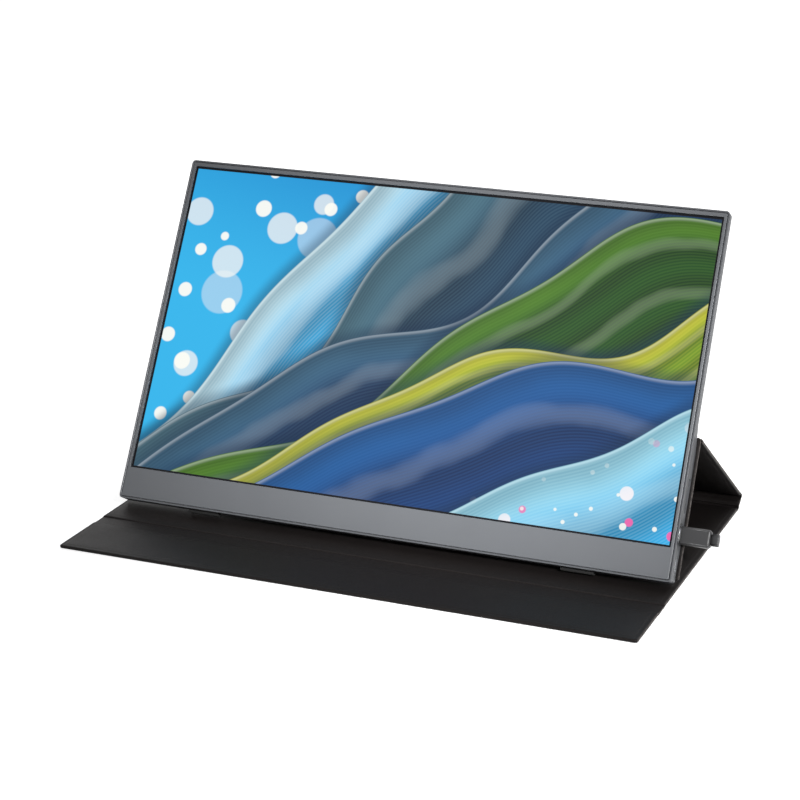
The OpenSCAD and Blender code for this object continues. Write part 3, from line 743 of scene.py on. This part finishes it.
def rolled_finish(name, dark, light, roughness, stretch=(0.03, 1.0, 1.0), grain=4000.0):
    """Bright sheet with rolling lines: a noise stretched along one direction."""
    finish = Finish(name, Metallic=1.0)
    lines = finish.noise(finish.vector("MULTIPLY", finish.place(), stretch), grain, 3, 0.6)
    finish.set(
        Base_Color=finish.mix(lines, dark, light),
        Roughness=roughness + (lines - 0.5) * 0.2,
        Normal=finish.bump(lines, 0.008 * mm, 0.4))
    return finish


# %% Circuit board
def board_finish():
    """Tracks follow a stepped pattern: thin lines between the bricks of a fine brick texture."""
    finish = Finish("board_lacquer", Coat_Weight=0.3)
    place = finish.place()
    case_plane = finish.vector("MULTIPLY", place, (1.0, 0.6, 1.0))
    tracks = finish.node("ShaderNodeTexBrick", {"offset": 0.4, "squash": 0.7}, {
        "Vector": case_plane, "Scale": 420.0, "Mortar Size": 0.035, "Mortar Smooth": 0.4}, "Fac")
    mask = finish.noise(place, 160, 2).above(0.5, 0.04)
    line = tracks * mask
    finish.set(
        Base_Color=finish.mix(line, (0.010, 0.085, 0.035), (0.035, 0.21, 0.085)),
        Roughness=0.34 + finish.noise(place, 900, 2) * 0.12,
        Normal=finish.bump(line, 0.03 * mm, 0.5))
    return finish


# %% A material for every finish of the model
plain_finishes = {
    "cover_leather": leather_finish(),
    "cover_lining": lining_finish(),
    "board_green": board_finish(),
    "bezel_grey": grained_finish("bezel_metal", (0.108, 0.114, 0.124), (0.128, 0.135, 0.146), 0.42,
                                 metallic=0.1),
    # The shell is the same metal as the bezel, painted darker as painted shade, so its rim below the chin
    # stays dark.
    "shell_grey": grained_finish("shell_metal", (0.085, 0.089, 0.097), (0.105, 0.110, 0.120), 0.45,
                                 metallic=0.3),
    "adhesive_black": grained_finish("adhesive", (0.006, 0.006, 0.007), (0.014, 0.014, 0.015), 0.7),
    "panel_white": grained_finish("white_frame", (0.62, 0.62, 0.6), (0.75, 0.75, 0.73), 0.5, grain=1800.0),
    "guide_clear": grained_finish("light_guide_acrylic", (0.62, 0.72, 0.75), (0.72, 0.82, 0.85), 0.12,
                                  grain=900.0),
    "film_silver": rolled_finish("mirror_film", (0.7, 0.71, 0.73), (0.82, 0.83, 0.85), 0.16),
    "led_yellow": grained_finish("led_phosphor", (0.65, 0.48, 0.08), (0.85, 0.7, 0.2), 0.45,
                                 grain=1200.0, depth=0.02),
    "tray_steel": rolled_finish("zinc_sheet", (0.42, 0.43, 0.44), (0.58, 0.59, 0.6), 0.34),
    "flex_orange": grained_finish("polyimide", (0.42, 0.16, 0.02), (0.6, 0.26, 0.04), 0.3, grain=2200.0),
    "foam_grey": grained_finish("foam", (0.045, 0.045, 0.048), (0.1, 0.1, 0.105), 0.95,
                                grain=1500.0, depth=0.12),
    "chip_black": grained_finish("chip_epoxy", (0.010, 0.010, 0.011), (0.02, 0.02, 0.022), 0.55,
                                 grain=4000.0),
    "screw_dark": rolled_finish("blackened_steel", (0.03, 0.03, 0.033), (0.07, 0.07, 0.075), 0.38,
                                stretch=(1.0, 0.1, 0.1)),
    "cable_white": grained_finish("ribbon_film", (0.58, 0.58, 0.55), (0.72, 0.72, 0.69), 0.4, grain=1400.0),
    "port_steel": rolled_finish("stamped_steel", (0.66, 0.67, 0.68), (0.82, 0.83, 0.84), 0.3),
    "moulding_black": grained_finish("black_moulding", (0.010, 0.010, 0.011), (0.021, 0.021, 0.023), 0.48,
                                     grain=2600.0, depth=0.02),
    "switch_steel": rolled_finish("switch_sheet", (0.4, 0.4, 0.41), (0.56, 0.56, 0.57), 0.3),
    "foot_rubber": grained_finish("rubber", (0.006, 0.006, 0.006), (0.014, 0.014, 0.014), 0.9,
                                  grain=1600.0, depth=0.04),
    "button_grey": grained_finish("grey_moulding", (0.09, 0.094, 0.1), (0.125, 0.13, 0.137), 0.45,
                                  metallic=0.2),
    "plug_grey": grained_finish("plug_moulding", (0.020, 0.020, 0.021), (0.034, 0.034, 0.036), 0.42,
                                grain=2400.0, depth=0.03),
    "cover_board": grained_finish("pressed_board", (0.2, 0.15, 0.095), (0.36, 0.29, 0.2), 0.9,
                                  grain=700.0, depth=0.05),
    "magnet_steel": rolled_finish("nickel", (0.5, 0.49, 0.46), (0.64, 0.63, 0.6), 0.22,
                                  stretch=(0.4, 0.4, 0.4)),
}

# %% Every node and every new piece gets its slot's finish
slot_of = {part["node"]: part["material_slot"] for part in frame["record"]["subparts"]}
made_here = [o for o in bpy.context.scene.objects if o.type == "MESH" and "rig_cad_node" not in o]
for name, node in nodes.items():
    if slot_of[name] in plain_finishes:     # all but the lit glass, which comes next
        dress(plain_finishes[slot_of[name]], node)
for piece in made_here:
    dress(plain_finishes[piece["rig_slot"]], piece)
print(len(plain_finishes), "finishes on", len(nodes), "nodes and", len(made_here), "new pieces")

# %% [markdown]
# ## The lit screen
#
# A liquid crystal panel is a light: its picture is the emission colour of the glass, and outside the lit
# area the glass stays black. The picture is a plain desktop pattern: discs of light on blue, and folds of
# silk in front of them. Each fold covers all that lies below its own wavy border, so a list is enough.

# %% Picture coordinates, and the fan's own
def picture_place(finish):
    """Across and up over the lit area, both in units of its height, from Object coordinates."""
    corner = in_case(np.array(-active_w / 2), np.array(chin_h), np.array(0.0))
    offset = finish.vector("SUBTRACT", finish.place(), tuple(corner))
    across = finish.vector("DOT_PRODUCT", offset, tuple(x_dir), output="Value") / active_h
    up = finish.vector("DOT_PRODUCT", offset, tuple(up_dir), output="Value") / active_h
    return across, up


def fan_place(across, up, hub):
    """Distance and angle from the hub that the folds spread from."""
    over, above = across - hub[0], up - hub[1]
    return (over * over + above * above).math("SQRT"), above.math("ARCTAN2", over)


def wave(along, height, length, phase):
    """A long wave and a third as high, shorter one on it."""
    long_wave = (along * (2 * np.pi / length) + phase).math("SINE")
    short_wave = (along * (4.6 * np.pi / length) + 2.1 * phase).math("SINE")
    return long_wave * height + short_wave * (height * 0.33)


# %% Folds of silk and discs of light
def silk_fold(finish, picture, below, width, top, bottom, threads):
    """Covers all that is below a border: a bright hem at the border, fine threads, a fading colour."""
    shade = finish.mix((below / width).above(0.5, 1.0), top, bottom)
    gloss = (below / width * (2 * np.pi * 1.15) + threads * 2.6).math("SINE") * 0.5 + 0.5
    shade = finish.mix(gloss * 0.55, shade, tuple(c * 0.22 for c in bottom))
    sheen = ((below / width * 5.0 - threads * 4.0).math("SINE") * 0.5 + 0.5).above(0.9, 0.3)
    shade = finish.mix(sheen * 0.3, shade, tuple(0.25 + 0.7 * c for c in top))
    thread = (below * 620.0 + threads * 9.0).math("SINE") * 0.5 + 0.5
    shade = finish.mix(thread * 0.12, shade, tuple(min(c * 1.4 + 0.03, 1) for c in top))
    hem = below.above(0.002, 0.004) * (1 - below.above(0.010, 0.014))
    shade = finish.mix(hem * 0.6, shade, tuple(0.35 + 0.62 * c for c in top))
    shadow = (below + 0.05).above(0.025, 0.05)
    picture = finish.mix(shadow * 0.5, picture, (0.0, 0.02, 0.06))
    return finish.mix(below.above(0.0, 0.003), picture, shade)


def discs(finish, flat, picture, scale, share, size, soft, tint, strength, where=1.0):
    """Round spots in a share of a loose grid's cells, pink or pale where no tint is given.

    The size is the largest radius in cells. At a quarter a spot stays in its cell, so no border cuts it.
    """
    cells = {"Vector": flat, "Scale": scale, "Randomness": 0.5}
    flat_cells = {"voronoi_dimensions": "2D"}
    away = finish.node("ShaderNodeTexVoronoi", flat_cells, cells, "Distance")
    chance = finish.node("ShaderNodeTexVoronoi", flat_cells, cells, "Color")
    first = finish.vector("DOT_PRODUCT", chance, (1.0, 0.0, 0.0), output="Value")
    second = finish.vector("DOT_PRODUCT", chance, (0.0, 1.0, 0.0), output="Value")
    spot = 1 - (away - first * (size * 0.6)).above(size * 0.4, soft)
    spot = spot * (1 - second.above(share)) * where
    if tint is None:
        pink, pale = (0.90, 0.12, 0.40), (0.96, 0.90, 0.92)
        tint = finish.mix(first.above(0.5), pink, pale)
    return finish.mix(spot * strength, picture, tint)


# %% The folds, from the highest border of the fan to the lowest
hub = (-0.42, -0.34)
low_border, low_wave = 15.5, (0.050, 1.6, 5.3)
folds = [
    # angle of the border, (wave height, length, phase), colour at the top, colour at the bottom, width
    (49.0, (0.060, 1.9, 2.7), (0.62, 0.86, 0.92), (0.03, 0.42, 0.78), 0.20),
    (43.0, (0.070, 1.6, 0.3), (0.09, 0.21, 0.27), (0.012, 0.05, 0.10), 0.26),
    (37.0, (0.050, 1.7, 4.4), (0.05, 0.15, 0.24), (0.006, 0.04, 0.13), 0.20),
    (31.0, (0.055, 1.9, 1.0), (0.10, 0.26, 0.015), (0.012, 0.07, 0.008), 0.13),
    (27.0, (0.040, 1.5, 1.5), (0.62, 0.60, 0.04), (0.16, 0.30, 0.012), 0.08),
    (24.0, (0.045, 1.8, 2.3), (0.01, 0.13, 0.40), (0.004, 0.04, 0.16), 0.24),
    (low_border, low_wave, (0.42, 0.82, 0.95), (0.02, 0.40, 0.78), 0.26),
]
print(len(folds), "folds from", folds[0][0], "down to", folds[-1][0], "degrees")


# %% The picture
def screen_finish():
    """Blue with discs of light behind, and folds in front, each below its own border of the fan."""
    finish = Finish("lit_glass", Base_Color=(0.008, 0.008, 0.010, 1), Roughness=0.3,
                    Specular_IOR_Level=0.12, Emission_Strength=1.0)
    across, up = picture_place(finish)
    flat = finish.node("ShaderNodeCombineXYZ", {}, [across, up, 0.0])
    lean_cos, lean_sin = 0.82, 0.57
    leaning = finish.node("ShaderNodeCombineXYZ", {}, [
        across * lean_cos + up * lean_sin, up * lean_cos - across * lean_sin, 0.0])
    threads = finish.noise(flat, 1.9, 3, 0.5)
    far, angle = fan_place(across, up, hub)

    light_blue, deep_blue, white = (0.03, 0.46, 0.83), (0.0, 0.20, 0.56), (0.97, 0.97, 0.90)
    picture = finish.mix((up * 0.8 + across * 0.2).above(0.85, 0.8), light_blue, deep_blue)
    for scale, share, soft, strength in ((2.7, 0.62, 0.02, 0.30), (4.6, 0.5, 0.03, 0.62),
                                         (9.0, 0.4, 0.05, 0.92)):
        picture = discs(finish, leaning, picture, scale, share, 0.25, soft, white, strength)

    for border, waves, top, bottom, width in folds:
        below = (np.radians(border) + wave(far, *waves) - angle) * far
        picture = silk_fold(finish, picture, below, width, top, bottom, threads)
    low_fold = (np.radians(low_border + 1) + wave(far, *low_wave) - angle).above(0.05, 0.09)
    picture = discs(finish, leaning, picture, 11.0, 0.30, 0.24, 0.04, None, 0.9, low_fold)
    picture = discs(finish, leaning, picture, 21.0, 0.25, 0.24, 0.06, white, 0.85, low_fold)

    half = active_w / active_h / 2
    beside = ((across - half).math("ABSOLUTE") - half).above(0.0)
    over = ((up - 0.5).math("ABSOLUTE") - 0.5).above(0.0)
    lit = (1 - beside) * (1 - over)
    finish.set(Emission_Color=finish.mix(lit, (0.0, 0.0, 0.0), picture))
    return finish


dress(screen_finish(), nodes["lcd_cell"])

# %% [markdown]
# ## Camera, light and floor
#
# The camera stands a metre and a half away, a little to the right and above, with a short telephoto lens.
# A pale room lights everything softly. A small box in front on the right, behind a grid that narrows its
# light, makes the frame brighter in the middle than at the left end, and two soft ones give the back and the
# cover's left end some shine. The floor is white to the camera through Light Path, and still takes shadows.

# %% The camera
camera_place = np.array([0.49513, -1.22109, 0.51034])
azimuth, down, roll = np.radians([20.99, 13.38, 0.69])
lens_mm, shift_x, shift_y = 103.53, -0.0653, -0.2318


def turned_camera():
    """The camera's matrix: it looks along the heading, downwards, and is rolled about that line."""
    forward = np.array([-np.sin(azimuth) * np.cos(down), np.cos(azimuth) * np.cos(down), -np.sin(down)])
    level = np.array([np.cos(azimuth), np.sin(azimuth), 0])
    upward = np.cross(level, forward)
    right = np.cos(roll) * level + np.sin(roll) * upward
    top = -np.sin(roll) * level + np.cos(roll) * upward
    matrix = np.eye(4)
    matrix[:3, :] = np.stack([right, top, -forward, camera_place], -1)
    return matrix


camera_data = bpy.data.cameras.new("camera")
camera_data.lens, camera_data.sensor_width = lens_mm, 36
camera_data.shift_x, camera_data.shift_y = shift_x, shift_y
camera = bpy.data.objects.new("camera", camera_data)
bpy.context.scene.collection.objects.link(camera)
camera.matrix_world = Matrix(turned_camera().tolist())
bpy.context.scene.camera = camera


# %% Soft boxes and the pale room
def soft_box(name, place, target, size, watts, spread=180):
    """A square area light that faces a point. A grid on it narrows its light to the spread."""
    data = bpy.data.lights.new(name, "AREA")
    data.shape, data.size, data.energy, data.spread = "SQUARE", size, watts, np.radians(spread)
    light = bpy.data.objects.new(name, data)
    bpy.context.scene.collection.objects.link(light)
    light.location = place
    light.rotation_euler = (Vector(target) - Vector(place)).to_track_quat("-Z", "Y").to_euler()
    print(name, watts, "W")


soft_box("right_box", (1.3, -1.5, 1.1), target=(0.06, -0.02, 0.11), size=0.15, watts=0.6, spread=12)
soft_box("left_box", (-1.1, 1.0, 0.8), target=(-0.25, -0.1, 0.0), size=0.5, watts=3)
soft_box("back_box", (0.4, 1.6, 1.4), target=(0.0, 0.0, 0.1), size=1.2, watts=13)

world = bpy.data.worlds.new("room")
world.use_nodes = True
bpy.context.scene.world = world
room = Graph(world.node_tree)
white_room = room.mix(room.seen(), (0.3, 0.3, 0.3), (1.0, 1.0, 1.0))
room.tree.links.new(white_room.socket, room.tree.nodes["Background"].inputs["Color"])


# %% The floor
def floor_finish():
    """White diffuse paper that also glows a little for the rays that make the background."""
    finish = Finish("white_sweep", Roughness=0.9, Specular_IOR_Level=0.1, Emission_Strength=1.0)
    seen = finish.seen()
    finish.set(Base_Color=finish.mix(seen, (0.45, 0.45, 0.45), (0.95, 0.95, 0.95)),
               Emission_Color=finish.mix(seen, (0.0, 0.0, 0.0), (0.68, 0.68, 0.68)))
    return finish


floor_size, floor_gap = 8.0, 0.05 * mm
floor_mesh = bpy.data.meshes.new("floor")
corners = np.array([(-1, -1), (1, -1), (1, 1), (-1, 1)]) * floor_size / 2
floor_mesh.from_pydata([(x, y, -floor_gap) for x, y in corners], [], [(0, 1, 2, 3)])
floor = bpy.data.objects.new("floor", floor_mesh)
bpy.context.scene.collection.objects.link(floor)
dress(floor_finish(), floor)

scene = bpy.context.scene
scene.view_settings.view_transform = "Standard"
